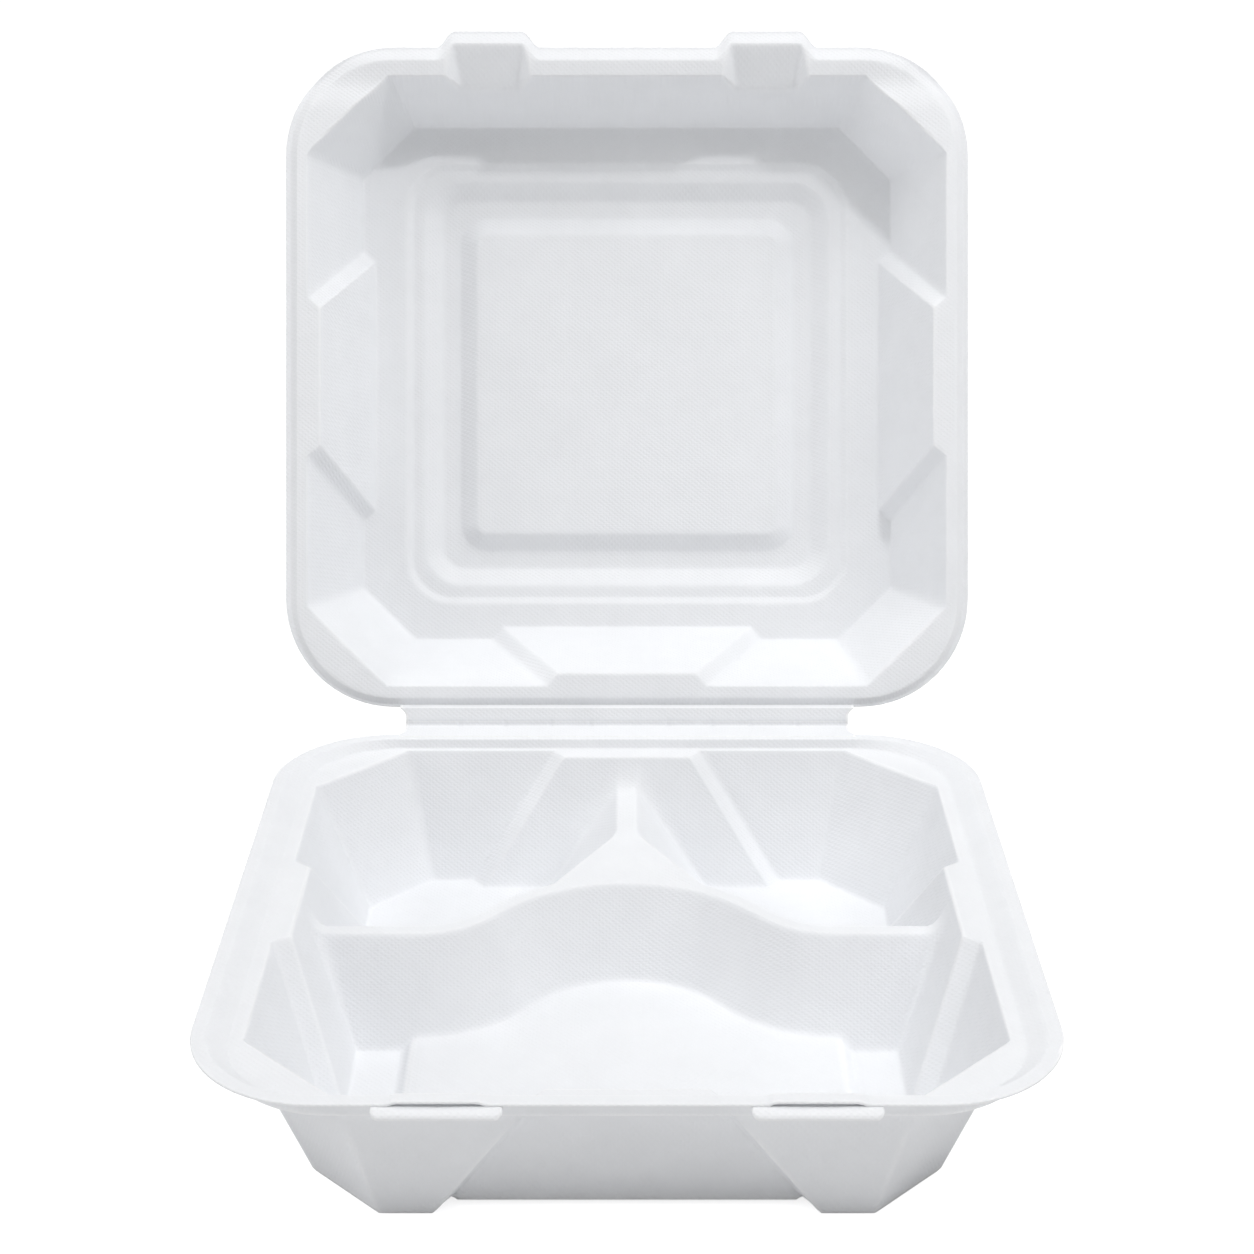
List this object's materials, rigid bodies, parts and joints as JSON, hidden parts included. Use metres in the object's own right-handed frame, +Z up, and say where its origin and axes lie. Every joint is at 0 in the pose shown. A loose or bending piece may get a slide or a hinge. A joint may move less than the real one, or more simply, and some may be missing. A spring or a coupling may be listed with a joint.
{
  "type": "hinged food container",
  "caption": "White moulded-fibre take-away box, open: a divided tray with a bowed ridge, panelled walls and a rolled rim, and a stepped lid on a scored fold with closing tabs.",
  "frame": {"origin": "middle of the base tray on the table plane, under the middle of its rim", "axes": "+Z up, +Y from the closing tabs to the fold, +X to the right as seen from the tabs"},
  "size_m": [0.2334, 0.3412, 0.2643],
  "materials": {
    "pulp": "matte moulded fibre with a fine mesh print"
  },
  "bodies": {
    "tray": {"base_tray": "pulp"},
    "cover": {"lid": "pulp"}
  },
  "joints": [
    {"name": "lid_fold", "type": "hinge", "parent": "tray", "child": "cover", "pos_m": [0, 0.1188, 0.04515], "axis": [1, 0, 0], "range_deg": [-68.2, 111.8]}
  ]
}
